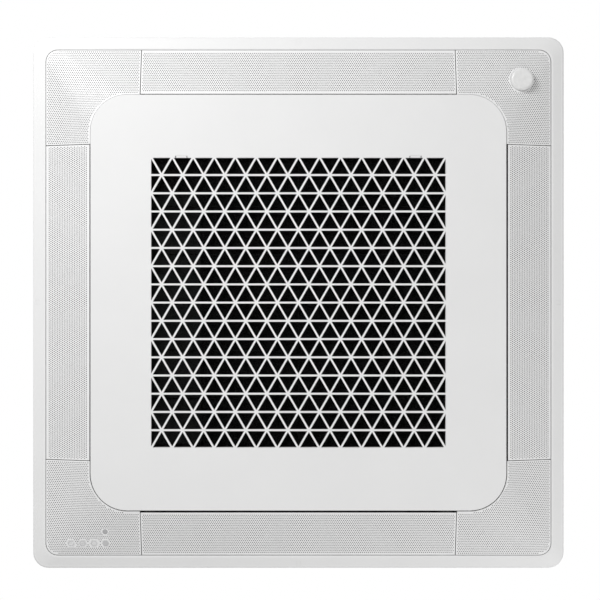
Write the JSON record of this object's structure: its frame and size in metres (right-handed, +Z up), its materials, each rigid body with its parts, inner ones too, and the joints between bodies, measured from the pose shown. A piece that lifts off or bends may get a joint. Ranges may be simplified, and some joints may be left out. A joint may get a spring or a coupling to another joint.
{
  "type": "ceiling cassette air conditioner",
  "caption": "Square ceiling cassette air conditioner: perforated swinging louvres round a lattice intake grille, with fan, coil, drain pan and hanger brackets.",
  "frame": {"origin": "centre of the four hanger rod slots, at the underside of the hanger ears", "axes": "+Z up as installed, +Y towards the grille's hinge, +X towards the pipes"},
  "size_m": [0.95, 0.95, 0.344],
  "materials": {
    "white_plastic": "fine satin texture",
    "grey_plastic": "moulded",
    "black_plastic": "moulded",
    "black_mesh": "fine woven mesh",
    "lens": "dark infrared lens",
    "light_guide": "frosted",
    "dome_plastic": "milky lens",
    "board": "solder mask",
    "foam": "closed cell foam",
    "white_foam": "expanded bead foam",
    "galvanised": "galvanised sheet",
    "screw_steel": "zinc plated",
    "spring_steel": "bright",
    "aluminium_fins": "thin fins",
    "copper": "drawn copper tube",
    "brass": "machined",
    "rubber": "moulded",
    "fan_plastic": "glass filled",
    "motor_paint": "moulded motor",
    "motor_steel": "plated can",
    "hose": "ribbed drain hose"
  },
  "bodies": {
    "root": {"panel_frame": "white_plastic", "return_well": "white_plastic", "panel_gasket": "foam", "screws": "screw_steel", "corner_cover_right": "white_plastic", "corner_cover_indicators": "white_plastic", "corner_cover_left": "white_plastic", "corner_cover_sensor": "white_plastic", "indicator_icons": "light_guide", "receiver_window": "lens", "indicator_board": "board", "sensor_dome": "dome_plastic", "louvre_bushes": "black_plastic", "louvre_motors": "motor_steel", "casing": "galvanised", "hanger_brackets": "galvanised", "insulation_liner": "white_foam", "drain_pan": "white_foam", "drain_plug": "rubber", "coil_fins": "aluminium_fins", "coil_end_plates": "galvanised", "coil_return_bends": "copper", "gas_pipe": "copper", "liquid_pipe": "copper", "flare_unions": "brass", "pipe_cover": "galvanised", "drain_spigot": "grey_plastic", "drain_hose": "hose", "drain_pump": "grey_plastic", "float_stem": "grey_plastic", "bell_deck": "black_plastic", "bell_mouth": "black_plastic", "fan_motor": "motor_paint", "motor_grommets": "rubber", "motor_bracket": "galvanised", "control_box": "galvanised", "control_board": "board", "control_box_cover": "galvanised"},
    "grille": {"intake_grille": "white_plastic", "hinge_arms": "white_plastic", "hinge_pins": "screw_steel", "latch_spring_left": "spring_steel", "latch_spring_right": "spring_steel", "filter_frame": "black_plastic", "filter_mesh": "black_mesh"},
    "latch_left": {"latch_left": "white_plastic"},
    "latch_right": {"latch_right": "white_plastic"},
    "fan": {"fan_wheel": "fan_plastic", "fan_shroud": "fan_plastic", "motor_shaft": "screw_steel", "fan_nut": "screw_steel"},
    "float": {"level_float": "grey_plastic"},
    "louvre_hinge_side": {"louvre_skin_hinge_side": "white_plastic", "louvre_carrier_hinge_side": "grey_plastic"},
    "louvre_left": {"louvre_skin_left": "white_plastic", "louvre_carrier_left": "grey_plastic"},
    "louvre_latch_side": {"louvre_skin_latch_side": "white_plastic", "louvre_carrier_latch_side": "grey_plastic"},
    "louvre_right": {"louvre_skin_right": "white_plastic", "louvre_carrier_right": "grey_plastic"}
  },
  "joints": [
    {"name": "louvre_hinge_side_swing", "type": "hinge", "parent": "root", "child": "louvre_hinge_side", "pos_m": [0, 0.3901, -0.1314], "axis": [-1, 0, 0], "range_deg": [0, 65]},
    {"name": "louvre_left_swing", "type": "hinge", "parent": "root", "child": "louvre_left", "pos_m": [-0.3901, 0, -0.1314], "axis": [0, -1, 0], "range_deg": [0, 65]},
    {"name": "louvre_latch_side_swing", "type": "hinge", "parent": "root", "child": "louvre_latch_side", "pos_m": [0, -0.3901, -0.1314], "axis": [1, 0, 0], "range_deg": [0, 65]},
    {"name": "louvre_right_swing", "type": "hinge", "parent": "root", "child": "louvre_right", "pos_m": [0.3901, 0, -0.1314], "axis": [0, 1, 0], "range_deg": [0, 65]},
    {"name": "grille_hinge", "type": "hinge", "parent": "root", "child": "grille", "pos_m": [0, 0.374, -0.1365], "axis": [1, 0, 0], "range_deg": [0, 90]},
    {"name": "latch_left_slide", "type": "slide", "parent": "grille", "child": "latch_left", "axis": [0, 1, 0], "range_m": [0, 0.005], "stiffness_N_per_m": 400, "springref_m": -0.002, "deforming": ["latch_spring_left"]},
    {"name": "latch_right_slide", "type": "slide", "parent": "grille", "child": "latch_right", "axis": [0, 1, 0], "range_m": [0, 0.005], "stiffness_N_per_m": 400, "springref_m": -0.002, "deforming": ["latch_spring_right"]},
    {"name": "fan_spin", "type": "hinge", "parent": "root", "child": "fan", "pos_m": [0, 0, 0.026], "axis": [0, 0, 1], "continuous": true},
    {"name": "float_lift", "type": "slide", "parent": "root", "child": "float", "axis": [0, 0, 1], "range_m": [0, 0.008]}
  ]
}
